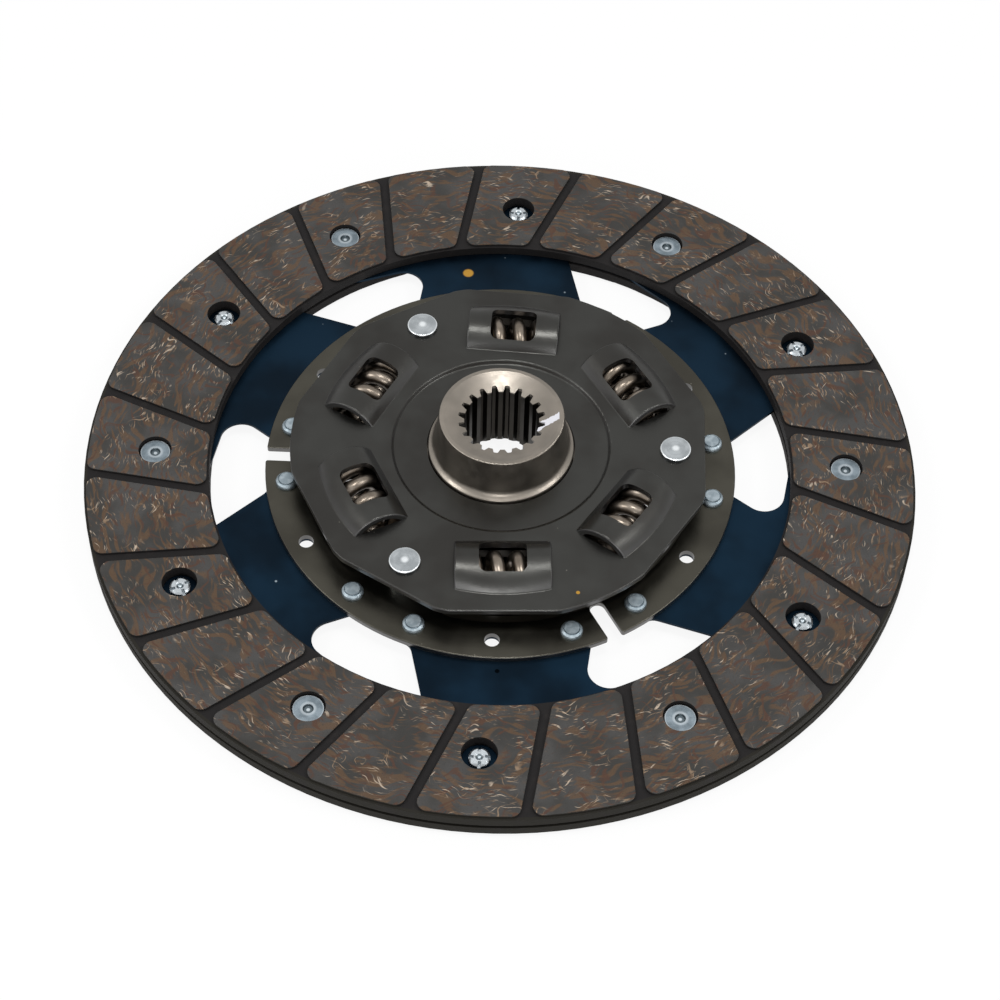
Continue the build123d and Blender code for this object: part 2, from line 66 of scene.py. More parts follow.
# Stage: a white studio floor just under the disc, a white surround and soft lamps. The camera stands
# in front of the disc and looks down on it through a long lens.
FLOOR_GAP = 0.2 * MM
FLOOR_REACH = 3.0                       # metres each way
FLOOR_GLOW = 0.9                        # the share of the floor that stays white where the disc shades it
SURROUND_LIGHT = 0.5                    # what the surround gives to matt surfaces; gloss sees it at 1

CAMERA_TURN = radians(0.9)
CAMERA_ELEVATION = radians(52.46)
CAMERA_ROLL = radians(1.611)
CAMERA_DISTANCE = 601.8 * MM
CAMERA_TARGET = Vector((0.13 * MM, -9.63 * MM, -0.4 * MM))
CAMERA_LENS = 90.15                     # mm, on a 36 mm sensor


def linear(code):
    """A colour written as sRGB hex, in linear light: ((c + 0.055) / 1.055) ** 2.4 above the toe."""
    c = np.array([int(code[i : i + 2], 16) / 255 for i in (1, 3, 5)])
    c = np.where(c <= 0.04045, c / 12.92, ((c + 0.055) / 1.055) ** 2.4)
    return (*c, 1.0)


def add(tree, kind, inputs=None, **settings):
    """Adds a node with its own settings. Inputs go by name or place: each is a value, a socket to link,
    or a node, which stands for the first of its outputs that is in use."""
    new = tree.nodes.new("ShaderNode" + kind)
    for key, value in settings.items():
        setattr(new, key, value)
    for key, value in (inputs or {}).items():
        if isinstance(value, bpy.types.Node):
            value = next(output for output in value.outputs if output.enabled)
        if isinstance(value, bpy.types.NodeSocket):
            tree.links.new(value, new.inputs[key])
        else:
            new.inputs[key].default_value = value
    return new


def seen_directly(tree):
    """1 for what the camera sees straight, in gloss or through glass, and 0 for light on matt surfaces."""
    path = add(tree, "LightPath").outputs
    seen = path["Is Camera Ray"]
    for other in ("Is Glossy Ray", "Is Transmission Ray"):
        seen = add(tree, "Math", {0: seen, 1: path[other]}, operation="MAXIMUM")
    return seen


def blank(name):
    """A new material with an empty node tree."""
    material = bpy.data.materials.new(name)
    material.use_nodes = True
    material.node_tree.nodes.clear()
    return material, material.node_tree


def studio_floor():
    """Matt white board: part of it is always white to the camera, and the rest takes the shadow."""
    material, tree = blank("matt_white_board")
    matt = add(tree, "BsdfDiffuse", {"Color": linear("#f4f4f4")})
    white = add(tree, "Emission", {"Color": linear("#ffffff"), "Strength": 1.0})
    share = add(tree, "Math", {0: seen_directly(tree), 1: FLOOR_GLOW}, operation="MULTIPLY")
    both = add(tree, "MixShader", {0: share, 1: matt, 2: white})
    add(tree, "OutputMaterial", {"Surface": both})
    return material


floor_mesh = bpy.data.meshes.new("floor")
floor_level = cad_box[0][2] - FLOOR_GAP
floor_corners = [
    (x * FLOOR_REACH, y * FLOOR_REACH, floor_level) for x, y in ((-1, -1), (1, -1), (1, 1), (-1, 1))
]
floor_mesh.from_pydata(floor_corners, [], [(0, 1, 2, 3)])
floor_mesh.materials.append(studio_floor())
floor = bpy.data.objects.new("floor", floor_mesh)
bpy.context.collection.objects.link(floor)

world = bpy.data.worlds.new("studio")
bpy.context.scene.world = world
world.use_nodes = True
surround = world.node_tree
strength = add(surround, "MapRange", {0: seen_directly(surround), 3: SURROUND_LIGHT, 4: 1.0})
background = surround.nodes["Background"]
background.inputs["Color"].default_value = linear("#ffffff")
surround.links.new(strength.outputs[0], background.inputs["Strength"])


def aim(camera):
    """Turns the camera to look along +Y and down, then rolls it and swings it round the axis."""
    swing = Matrix.Rotation(CAMERA_TURN, 3, "Z")
    forward = swing @ Vector((0, np.cos(CAMERA_ELEVATION), -np.sin(CAMERA_ELEVATION)))
    right = swing @ Vector((1, 0, 0))
    up = right.cross(forward)
    rolled_right = right * np.cos(CAMERA_ROLL) + up * np.sin(CAMERA_ROLL)
    rolled_up = up * np.cos(CAMERA_ROLL) - right * np.sin(CAMERA_ROLL)
    turn = Matrix((rolled_right, rolled_up, -forward)).transposed()
    place = swing @ CAMERA_TARGET - forward * CAMERA_DISTANCE
    camera.matrix_world = Matrix.Translation(place) @ turn.to_4x4()


camera_data = bpy.data.cameras.new("camera")
camera_data.lens = CAMERA_LENS
camera_data.clip_start = 10 * MM
camera = bpy.data.objects.new("camera", camera_data)
bpy.context.collection.objects.link(camera)
aim(camera)
bpy.context.scene.camera = camera


def softbox(name, place, side, watts):
    """A square soft lamp that points at the hub. Its place and side are in metres."""
    data = bpy.data.lights.new(name, "AREA")
    data.size = side
    data.energy = watts
    lamp = bpy.data.objects.new(name, data)
    lamp.location = place
    lamp.rotation_euler = (-Vector(place)).to_track_quat("-Z", "Y").to_euler()
    bpy.context.collection.objects.link(lamp)


softbox("left_box", place=(-0.75, -0.15, 0.8), side=0.3, watts=2.8)
softbox("right_box", place=(0.75, -0.15, 0.8), side=0.3, watts=2.8)
softbox("top_box", place=(0.0, -0.05, 1.0), side=0.2, watts=3.0)
softbox("front_box", place=(0.0, -1.0, 0.45), side=0.3, watts=2.4)

bpy.context.scene.view_settings.view_transform = "Standard"


# Cushion segments: six blades of thin spring steel, blanked and tempered blue. Each is riveted to the
# disc plate by its root and spreads between the facings. Oil dulls the blue, and dust sits on it.
BLUE_DARK = "#0f1a24"
BLUE_TEAL = "#152736"
BLUE_DUST = "#8b98a0"
MARK_OCHRE = "#b58a3c"
PIT_BLACK = "#04070b"
OCHRE_DOT = (64.0, 99.6, 0.35)          # mm from the axis, degrees round it, and the face's height in mm
DARK_PIT = (59.4, -88.55, 0.35)
DOT_RADIUS = 1.3                        # mm
PIT_RADIUS = 0.55                       # mm
DOT_BLUR = 0.2                          # the share of its radius by which a dot's edge is soft
SKIN_DEPTH = 0.3                        # mm under a face at which nothing of a dot is left
SPECK_CHANCE = (0.55, 0.6)              # a cell's random tone: under the first it holds no speck
SOFT_EDGE = 0.1                         # mm over which one finish gives way to another
TONE_LEVELS = (0.35, 0.65)              # noise levels at which steel has its dark and its light tone
GLOSS_LEVELS = (0.3, 0.7)               # noise levels at which it has its least and most roughness
GRAIN_DEPTH = 0.1 * MM


def millimetres(tree):
    """Where a point of the surface is, in millimetres from the disc's centre."""
    where = add(tree, "TexCoord").outputs["Object"]
    return add(tree, "VectorMath", {0: where, "Scale": 1 / MM}, operation="SCALE")


def cloud(tree, place, size, low, high):
    """Soft patches of a size in mm: 0 where the noise is under low, 1 where it is over high."""
    noise = add(tree, "TexNoise", {"Vector": place, "Scale": 1 / size, "Detail": 3.0})
    return add(tree, "MapRange", {0: noise, 1: low, 2: high}, interpolation_type="SMOOTHSTEP")


def dot(tree, place, spot, radius):
    """1 inside a round dot on an upper face, 0 outside it and in the metal under the face."""
    reach, angle, height = spot
    centre = (reach * np.cos(radians(angle)), reach * np.sin(radians(angle)), height)
    away = add(tree, "VectorMath", {0: place, 1: centre}, operation="DISTANCE")
    edge = {0: away, 1: radius * (1 + DOT_BLUR), 2: radius * (1 - DOT_BLUR)}
    inside = add(tree, "MapRange", edge, interpolation_type="SMOOTHSTEP")
    level = add(tree, "SeparateXYZ", {0: place}).outputs["Z"]
    skin = {0: level, 1: height - SKIN_DEPTH, 2: height - SKIN_DEPTH + SOFT_EDGE}
    on_face = add(tree, "MapRange", skin, interpolation_type="SMOOTHSTEP")
    return add(tree, "Math", {0: inside, 1: on_face}, operation="MULTIPLY")


def specks(tree, place, spacing, radius):
    """Scattered specks: one at most to a cell of the given spacing in mm, and none in most cells."""
    cells = add(tree, "TexVoronoi", {"Vector": place, "Scale": 1 / spacing})
    edge = {0: cells.outputs["Distance"], 1: radius / spacing, 2: radius / spacing / 2}
    near = add(tree, "MapRange", edge, interpolation_type="SMOOTHSTEP")
    choice = {0: cells.outputs["Color"], 1: SPECK_CHANCE[0], 2: SPECK_CHANCE[1]}
    chosen = add(tree, "MapRange", choice, interpolation_type="SMOOTHSTEP")
    return add(tree, "Math", {0: near, 1: chosen}, operation="MULTIPLY")


def coat(tree, under, code, *amounts):
    """One colour laid over another, as thickly as the amounts multiplied say: 0 is bare, 1 covers."""
    share, *others = amounts
    for other in others:
        share = add(tree, "Math", {0: share, 1: other}, operation="MULTIPLY")
    return add(tree, "Mix", {0: share, 6: under, 7: linear(code)}, data_type="RGBA")


def tint(tree, shader, code, *amounts):
    """Lays a colour over what feeds the shader's base colour, by the amounts multiplied."""
    under = shader.inputs["Base Color"].links[0].from_socket
    over = coat(tree, under, code, *amounts)
    tree.links.new(over.outputs[2], shader.inputs["Base Color"])


def steel(name, dark, light, patch, rough, grain, relief):
    """Steel in two tones: soft patches, uneven gloss and a fine grain, their sizes in mm.

    The gloss varies three times as finely as the tone. The grain is coarser than real, so that it shows.
    """
    material, tree = blank(name)
    place = millimetres(tree)
    colour = coat(tree, linear(dark), light, cloud(tree, place, patch, *TONE_LEVELS))
    gloss = add(tree, "TexNoise", {"Vector": place, "Scale": 3 / patch, "Detail": 4.0})
    levels = {1: GLOSS_LEVELS[0], 2: GLOSS_LEVELS[1], 3: rough[0], 4: rough[1]}
    roughness = add(tree, "MapRange", {0: gloss, **levels})
    fine = add(tree, "TexNoise", {"Vector": place, "Scale": 1 / grain, "Detail": 2.0})
    bump = add(tree, "Bump", {"Strength": relief, "Distance": GRAIN_DEPTH, "Height": fine})
    shader = add(
        tree,
        "BsdfPrincipled",
        {"Base Color": colour, "Metallic": 1.0, "Roughness": roughness, "Normal": bump},
    )
    add(tree, "OutputMaterial", {"Surface": shader})
    return material, tree, place, shader


def dress(material, *names):
    """Gives a material to the CAD nodes of these names."""
    for name in names:
        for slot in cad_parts[name].material_slots:
            slot.material = material


blued, tree, place, shader = steel(
    "blued_spring_steel", BLUE_DARK, BLUE_TEAL, patch=22, rough=(0.34, 0.5), grain=0.5, relief=0.15
)
tint(tree, shader, BLUE_DUST, specks(tree, place, spacing=5.0, radius=0.4))
tint(tree, shader, MARK_OCHRE, dot(tree, place, OCHRE_DOT, DOT_RADIUS))
tint(tree, shader, PIT_BLACK, dot(tree, place, DARK_PIT, PIT_RADIUS))
dress(blued, *[f"cushion_segment_{number}" for number in range(1, 7)])


# Facings: rings of woven yarn, resin and metal strands, hot moulded and ground flat. The ground pads
# show brown yarn and short bright strands; grooves, holes and edges are near black: moulded skin and
# painted shade.
PAD_GREY = "#454443"
PAD_DARK = "#363533"
# near black below the ground pads: the moulded skin, darkened further as painted shade in grooves and holes
PAD_SKIN_AND_SHADE = "#171515"
SKIN_DUSTY = "#211e1d"
WALL_OLIVE = "#1e1c17"
YARN_BROWN = "#5c4632"
YARN_RED = "#4d362b"
STRAND_TAN = "#8f7963"
STRAND_PALE = "#bfae9b"
STRANDS = (                             # mm: length, width, wander; then seed and colour
    (3.4, 0.5, 6.0, 53.0, STRAND_TAN),
    (3.0, 0.45, 9.0, 97.0, STRAND_PALE),
    (2.4, 0.5, 14.0, 71.0, STRAND_TAN),
)
STRAND_LEVELS = (0.645, 0.74)           # noise levels: strands are sparse, so only the peaks show
BROWN_COVER = 0.68
RED_COVER = 0.8
STRAND_COVER = 0.8
BEND_LENGTH = 2.5                       # a bend in a streak, in lengths of the streak
GRIT_SIZE = 0.4                         # mm
GRIT_LEVELS = (0.55, 0.8)               # noise levels at which a grain starts and is whole
GROUND_LEVEL = 3.58                     # mm from the middle of the pack: the pads are ground past it
GROUND_FADE = 0.15                      # mm
RIM_RADIUS = 99.3                       # mm
WINDING_RADIUS = 85.0                   # mm, the middle of the ring
LINING_RELIEF = 0.12 * MM


def streaks(tree, flat, radius, length, width, wander, seed, low, high):
    """Wavy streaks wound round the axis, in mm: 1 on a streak, 0 off it.

    Noise is read at (x, y) / r * R / length and at (r + bend) / width, so that it is drawn out round
    the ring and closes on itself. The bend is slower noise, wander mm deep, which turns the streaks.
    """
    shifted = add(tree, "VectorMath", {0: flat, 1: (seed, 3 * seed, 0)}, operation="ADD")
    slow = add(tree, "TexNoise", {"Vector": shifted, "Scale": 1 / length / BEND_LENGTH, "Detail": 1.0})
    bent = add(tree, "Math", {0: slow, 1: wander, 2: radius}, operation="MULTIPLY_ADD")
    across = add(tree, "Math", {0: bent, 1: 1 / width, 2: seed}, operation="MULTIPLY_ADD")
    turn = add(tree, "VectorMath", {0: flat}, operation="NORMALIZE")
    wound = add(tree, "VectorMath", {0: turn, "Scale": WINDING_RADIUS / length}, operation="SCALE")
    place = add(tree, "VectorMath", {0: wound, 1: add(tree, "CombineXYZ", {"Z": across})}, operation="ADD")
    noise = add(tree, "TexNoise", {"Vector": place, "Scale": 1.0, "Detail": 1.0})
    return add(tree, "MapRange", {0: noise, 1: low, 2: high}, interpolation_type="SMOOTHSTEP")


def moulded_lining():
    """Ground friction lining: matt grey-brown, with yarn and strands only on the ground pads."""
    material, tree = blank("moulded_friction_lining")
    place = millimetres(tree)
    x, y, z = add(tree, "SeparateXYZ", {0: place}).outputs
    flat = add(tree, "CombineXYZ", {0: x, 1: y})
    radius = add(tree, "VectorMath", {0: flat}, operation="LENGTH")
    level = add(tree, "Math", {0: z}, operation="ABSOLUTE")
    pad_edge = {0: level, 1: GROUND_LEVEL - GROUND_FADE, 2: GROUND_LEVEL}
    ground = add(tree, "MapRange", pad_edge, interpolation_type="SMOOTHSTEP")

    brown = streaks(tree, flat, radius, length=5.0, width=1.2, wander=12.0, seed=7.0, low=0.51, high=0.63)
    red = streaks(tree, flat, radius, length=3.6, width=0.9, wander=16.0, seed=31.0, low=0.57, high=0.68)
    colour = coat(tree, linear(PAD_DARK), PAD_GREY, cloud(tree, place, size=9, low=0.35, high=0.65))
    colour = coat(tree, colour, YARN_BROWN, brown, BROWN_COVER)
    colour = coat(tree, colour, YARN_RED, red, RED_COVER)
    bunches = cloud(tree, flat, size=7, low=0.45, high=0.58)
    lift = brown
    for length, width, wander, seed, code in STRANDS:
        bright = streaks(tree, flat, radius, length, width, wander, seed, *STRAND_LEVELS)
        bright = add(tree, "Math", {0: bright, 1: bunches}, operation="MULTIPLY")
        colour = coat(tree, colour, code, bright, STRAND_COVER)
        lift = add(tree, "Math", {0: lift, 1: bright}, operation="ADD")
    grit = add(tree, "TexNoise", {"Vector": place, "Scale": 1 / GRIT_SIZE, "Detail": 2.0})
    grains = {0: grit, 1: GRIT_LEVELS[0], 2: GRIT_LEVELS[1]}
    gritty = add(tree, "MapRange", grains, interpolation_type="SMOOTHSTEP")
    colour = coat(tree, colour, PAD_DARK, gritty)

    rim_edge = {0: radius, 1: RIM_RADIUS - SOFT_EDGE, 2: RIM_RADIUS}
    rim = add(tree, "MapRange", rim_edge, interpolation_type="SMOOTHSTEP")
    # under the ground level: skin colour with painted shade, olive on the outer wall, dusty in patches
    skin = coat(tree, linear(PAD_SKIN_AND_SHADE), WALL_OLIVE, rim)
    skin = coat(tree, skin, SKIN_DUSTY, cloud(tree, place, size=3, low=0.5, high=0.8))
    colour = add(tree, "Mix", {0: ground, 6: skin, 7: colour}, data_type="RGBA")
    raised = add(tree, "Math", {0: lift, 1: ground, 2: grit}, operation="MULTIPLY_ADD")
    bump = add(tree, "Bump", {"Strength": 0.35, "Distance": LINING_RELIEF, "Height": raised})
    shader = add(
        tree,
        "BsdfPrincipled",
        {"Base Color": colour, "Roughness": 0.75, "Specular IOR Level": 0.2, "Normal": bump},
    )
    add(tree, "OutputMaterial", {"Surface": shader})
    return material


dress(moulded_lining(), "upper_facing", "lower_facing")


# Facing rivets: drawn steel rivets, zinc plated, with a flat hollow head in a counterbore of one
# facing and a rolled tail in a hole of the other. The plating is dull and blotchy.
ZINC_DARK = "#6c777e"
ZINC_LIGHT = "#86929a"
# painted highlight on the heads' edges, round their hollows and in them
HEAD_HIGHLIGHT = "#b9c1c6"
TAIL_PALE = "#b4babe"
# painted shade in the heads' hollows
HOLLOW_SHADE = "#566065"
RIVET_CIRCLE = 83.45                    # mm
FOOT_MIDDLE = 45.0                      # degrees
RIVET_SPREAD = 16.05                    # degrees each side of the middle of a blade's foot
FOOT_HALF = 30.0                        # degrees: the feet share the circle in six
HEAD_RINGS = (                          # mm from the axis: where it starts and is whole; cover; colour
    (3.2, 3.6, 1.0, HEAD_HIGHLIGHT),     # the head's edge: painted highlight
    (2.1, 1.5, 0.6, HEAD_HIGHLIGHT),     # the ring round the hollow: painted highlight
    (1.3, 1.1, 1.0, HOLLOW_SHADE),       # the hollow: painted shade
    (0.55, 0.275, 1.0, HEAD_HIGHLIGHT),  # the glint in it
)
TAIL_LEVEL = 0.4                        # mm from the middle of the pack
TAIL_HOLLOW = 0.6                       # mm from the axis
TAIL_LIP = 0.9                          # mm from the axis


def from_nearest_rivet(tree, place):
    """Distance in mm to the nearest rivet's axis, with the ring of twelve folded into one sixth.

    The angle a is brought to between -30 and 30 degrees of a foot's middle; the rivet is then at
    |a| = spread, so the distance is the root of (r - R)^2 and ((|a| - spread) R)^2 together.
    """
    x, y, _ = add(tree, "SeparateXYZ", {0: place}).outputs
    flat = add(tree, "CombineXYZ", {0: x, 1: y})
    radius = add(tree, "VectorMath", {0: flat}, operation="LENGTH")
    angle = add(tree, "Math", {0: y, 1: x}, operation="ARCTAN2")
    angle = add(tree, "Math", {0: angle, 1: radians(FOOT_MIDDLE)}, operation="SUBTRACT")
    ends = {1: radians(FOOT_HALF), 2: radians(-FOOT_HALF)}
    folded = add(tree, "Math", {0: angle, **ends}, operation="WRAP")
    folded = add(tree, "Math", {0: folded}, operation="ABSOLUTE")
    aside = add(tree, "Math", {0: folded, 1: radians(RIVET_SPREAD)}, operation="SUBTRACT")
    aside = add(tree, "Math", {0: aside, 1: RIVET_CIRCLE}, operation="MULTIPLY")
    out = add(tree, "Math", {0: radius, 1: RIVET_CIRCLE}, operation="SUBTRACT")
    both = add(tree, "CombineXYZ", {0: aside, 1: out})
    return add(tree, "VectorMath", {0: both}, operation="LENGTH")


for name, tail_side in (("upper_facing_rivets", -1.0), ("lower_facing_rivets", 1.0)):
    zinc, tree, place, shader = steel(
        f"zinc_plated_{name}", ZINC_DARK, ZINC_LIGHT, patch=2.6, rough=(0.32, 0.46), grain=0.25, relief=0.15
    )
    away = from_nearest_rivet(tree, place)
    for start, whole, cover, code in HEAD_RINGS:
        edge = {0: away, 1: start, 2: whole, 4: cover}
        tint(tree, shader, code, add(tree, "MapRange", edge, interpolation_type="SMOOTHSTEP"))
    level = add(tree, "SeparateXYZ", {0: place}).outputs["Z"]
    height = add(tree, "Math", {0: level, 1: tail_side}, operation="MULTIPLY")
    tail = {0: height, 1: TAIL_LEVEL, 2: TAIL_LEVEL + SOFT_EDGE}
    on_tail = add(tree, "MapRange", tail, interpolation_type="SMOOTHSTEP")
    lip = {0: away, 1: TAIL_HOLLOW, 2: TAIL_LIP}
    rolled = add(tree, "MapRange", lip, interpolation_type="SMOOTHSTEP")
    tint(tree, shader, TAIL_PALE, on_tail, rolled)
    dress(zinc, name)


# Disc plate: pressed sheet steel with a dark phosphate finish, oiled. It is satin and a little brown. Its
# steep
# faces are lighter: bare steel where the press sheared it, and painted highlight on creases and dome
# slopes.
RING_DARK = "#403e38"
RING_LIGHT = "#4b4942"
# lighter steep faces: bare steel on sheared edges, painted highlight on creases and dome slopes
SHEARED_AND_SHEEN = "#888788"
PLATE_SPECK = "#8d8a80"
SHEET_SLOPE = 0.85                      # the upright part of a face's normal: at or over it, finished sheet
WALL_SLOPE = 0.3                        # at or under it, fully a steep face: sheared edges, creases and dome slopes
SHEARED_AND_SHEEN_COVER = 0.5
SPECK_COVER = 0.6


def phosphated(name, dark, light):
    """Oiled phosphated sheet: fine crystals, pale specks, and lighter steep faces: bare steel on sheared
    edges and painted highlight on creases and dome slopes.
    """
    material, tree, place, shader = steel(
        name, dark, light, patch=16, rough=(0.28, 0.38), grain=0.35, relief=0.15
    )
    normal = add(tree, "NewGeometry").outputs["Normal"]
    upright = add(tree, "SeparateXYZ", {0: normal}).outputs["Z"]
    upright = add(tree, "Math", {0: upright}, operation="ABSOLUTE")
    slope = {0: upright, 1: SHEET_SLOPE, 2: WALL_SLOPE}
    wall = add(tree, "MapRange", slope, interpolation_type="SMOOTHSTEP")
    # steep faces lighter: bare steel on sheared edges, painted highlight on creases and dome slopes
    tint(tree, shader, SHEARED_AND_SHEEN, wall, SHEARED_AND_SHEEN_COVER)
    tint(tree, shader, PLATE_SPECK, specks(tree, place, spacing=4.0, radius=0.2), SPECK_COVER)
    return material, tree, place, shader


ring_finish, *_ = phosphated("phosphated_ring_steel", RING_DARK, RING_LIGHT)
dress(ring_finish, "disc_plate")


# Cushion rivets: twelve plain steel rivets, cold headed by a stamp and left oiled, which hold the
# roots of the cushion segments to the disc plate.
RIVET_DARK = "#87939a"
RIVET_LIGHT = "#a3aeb4"

headed, *_ = steel(
    "cold_headed_steel", RIVET_DARK, RIVET_LIGHT, patch=1.4, rough=(0.42, 0.55), grain=0.2, relief=0.12
)
dress(headed, "cushion_rivets")


# Friction washers and centring bush: moulded from filled plastic, matt and nearly black. The disc
# spring over them is a pressed cone of spring steel.
PLASTIC_DARK = "#232220"
PLASTIC_LIGHT = "#32302d"
CONE_DARK = "#3d3a35"
CONE_LIGHT = "#524d45"


def filled_plastic():
    """Glass-filled nylon: matt, dark, with a faint mottle."""
    material, tree = blank("glass_filled_nylon")
    mottle = cloud(tree, millimetres(tree), size=1.5, low=0.4, high=0.6)
    colour = coat(tree, linear(PLASTIC_DARK), PLASTIC_LIGHT, mottle)
    shader = add(tree, "BsdfPrincipled", {"Base Color": colour, "Roughness": 0.6})
    add(tree, "OutputMaterial", {"Surface": shader})
    return material


dress(filled_plastic(), "upper_friction_washer", "lower_friction_washer", "centring_bush")
pressed_cone, *_ = steel(
    "pressed_spring_steel", CONE_DARK, CONE_LIGHT, patch=5, rough=(0.3, 0.4), grain=0.3, relief=0.1
)
dress(pressed_cone, "disc_spring")


# Hub: forged steel, turned and broached, then carbonitrided. It is a warm satin grey with fine turning
# marks round it, and has a dab of white paint. Painted shade darkens it in the spline and on the flange
# between the plates.
HUB_DARK = "#7d776f"
HUB_LIGHT = "#8a837a"
# painted shade for the spline bore and the flange
HUB_SHADE = "#2d2a26"
PAINT_WHITE = "#d6d6dc"
BORE_RADIUS = 10.45                     # mm, just outside the spline
FLANGE_START = 18.0                     # mm from the axis
FACE_LEVEL = 17.9                       # mm, just under the conical end face
SHADE_LEVEL = 17.5                        # mm: the spline is in full painted shade from here down
TURNING_PITCH = 0.22                    # mm between turning marks, coarser than real so that they show
TURNING_LEVELS = (0.45, 0.75)           # noise levels at which a mark starts and is whole
TURNING_COVER = 0.25
DAB_UPPER = (1.64, -14.9)               # an edge of the paint: degrees for each mm of radius, degrees at 0
DAB_INNER = (7.9, -93.1)
DAB_OUTER = (3.07, -42.6)
DAB_BLUR = 0.6                          # degrees
DAB_REACH = 13.75                       # mm from the axis
DAB_THINNING = 0.25                     # mm over which it thins out there
DAB_RAGGED = 5.0                        # degrees between the deepest and the highest nick of an edge
BRISTLE = 0.625                         # mm, the width of a nick that the brush leaves


def hub_steel():
    """Turned hub steel with painted shade in the spline and on the flange, and a brushed paint dab on its
    end face.

    In the paint's place the angle lies under the upper edge and over the lower ones, each of which is
    a straight line of angle against radius.
    """
    material, tree, place, shader = steel(
        "carbonitrided_hub_steel", HUB_DARK, HUB_LIGHT, patch=8, rough=(0.3, 0.42), grain=0.3, relief=0.08
    )
    x, y, z = add(tree, "SeparateXYZ", {0: place}).outputs
    flat = add(tree, "CombineXYZ", {0: x, 1: y})
    radius = add(tree, "VectorMath", {0: flat}, operation="LENGTH")
    run = add(tree, "Math", {0: radius, 1: z}, operation="ADD")
    marks = add(tree, "TexNoise", {"W": run, "Scale": 1 / TURNING_PITCH}, noise_dimensions="1D")
    levels = {0: marks, 1: TURNING_LEVELS[0], 2: TURNING_LEVELS[1]}
    turned = add(tree, "MapRange", levels, interpolation_type="SMOOTHSTEP")
    tint(tree, shader, HUB_DARK, turned, TURNING_COVER)
    # painted shade inside the spline bore and on the flange between the plates
    spline_edge = {0: radius, 1: BORE_RADIUS, 2: BORE_RADIUS - SOFT_EDGE}
    in_spline = add(tree, "MapRange", spline_edge, interpolation_type="SMOOTHSTEP")
    below_face = add(tree, "MapRange", {0: z, 1: FACE_LEVEL, 2: SHADE_LEVEL}, interpolation_type="SMOOTHSTEP")
    tint(tree, shader, HUB_SHADE, in_spline, below_face)
    flange_edge = {0: radius, 1: FLANGE_START, 2: FLANGE_START + 2 * SOFT_EDGE}
    tint(tree, shader, HUB_SHADE, add(tree, "MapRange", flange_edge, interpolation_type="SMOOTHSTEP"))

    angle = add(tree, "Math", {0: y, 1: x}, operation="ARCTAN2")
    angle = add(tree, "Math", {0: angle}, operation="DEGREES")
    nicks = add(tree, "TexNoise", {"Vector": flat, "Scale": 1 / BRISTLE, "Detail": 3.0})
    angle = add(tree, "Math", {0: nicks, 1: DAB_RAGGED, 2: angle}, operation="MULTIPLY_ADD")
    angle = add(tree, "Math", {0: angle, 1: DAB_RAGGED / 2}, operation="SUBTRACT")
    upper, inner, outer = (
        add(tree, "Math", {0: radius, 1: slope, 2: start}, operation="MULTIPLY_ADD")
        for slope, start in (DAB_UPPER, DAB_INNER, DAB_OUTER)
    )
    lower = add(tree, "Math", {0: inner, 1: outer}, operation="MINIMUM")
    under_upper = add(tree, "Math", {0: upper, 1: angle}, operation="SUBTRACT")
    over_lower = add(tree, "Math", {0: angle, 1: lower}, operation="SUBTRACT")
    dab = 1.0
    for value, start, whole in (
        (under_upper, 0.0, DAB_BLUR),
        (over_lower, 0.0, DAB_BLUR),
        (radius, DAB_REACH, DAB_REACH - DAB_THINNING),
        (z, FACE_LEVEL, FACE_LEVEL + SOFT_EDGE),
    ):
        inside = add(tree, "MapRange", {0: value, 1: start, 2: whole}, interpolation_type="SMOOTHSTEP")
        dab = add(tree, "Math", {0: dab, 1: inside}, operation="MULTIPLY")
    tint(tree, shader, PAINT_WHITE, dab)
    metallic = add(tree, "Math", {0: 1.0, 1: dab}, operation="SUBTRACT")
    tree.links.new(metallic.outputs[0], shader.inputs["Metallic"])
    return material


dress(hub_steel(), "hub")


# Torsion springs: coils of oil-tempered round wire, closed and ground flat at both ends. They lie in
# the windows of the plates and the flange, and give when the hub turns.
SPRING_MIDDLES = 32.8                   # degrees each side of a stop pin
SPRING_CIRCLE = 36.2 * MM
WIRE = 3.4 * MM
COIL_RADIUS = 4.55 * MM
SPRING_LENGTH = 22.0 * MM
COIL_PITCH = 5.2 * MM
END_PITCH = 3.55 * MM
ACTIVE_HALF = 6.4 * MM                  # half the stretch that is wound open
END_INSET = 0.2 * WIRE                  # from a ground end back to where the wire's centre stops
CRESTS = (0.85, -1.4, -2.9, -2.65, -1.2, 1.7)    # mm along each spring to a coil's highest point
WIRE_BRONZE = "#6c6359"
WIRE_GREY = "#82796f"
RINGS_PER_TURN = 64
ROUND_THE_WIRE = 24
CREASE = radians(40)                    # the ground ends meet the wire at a sharp edge


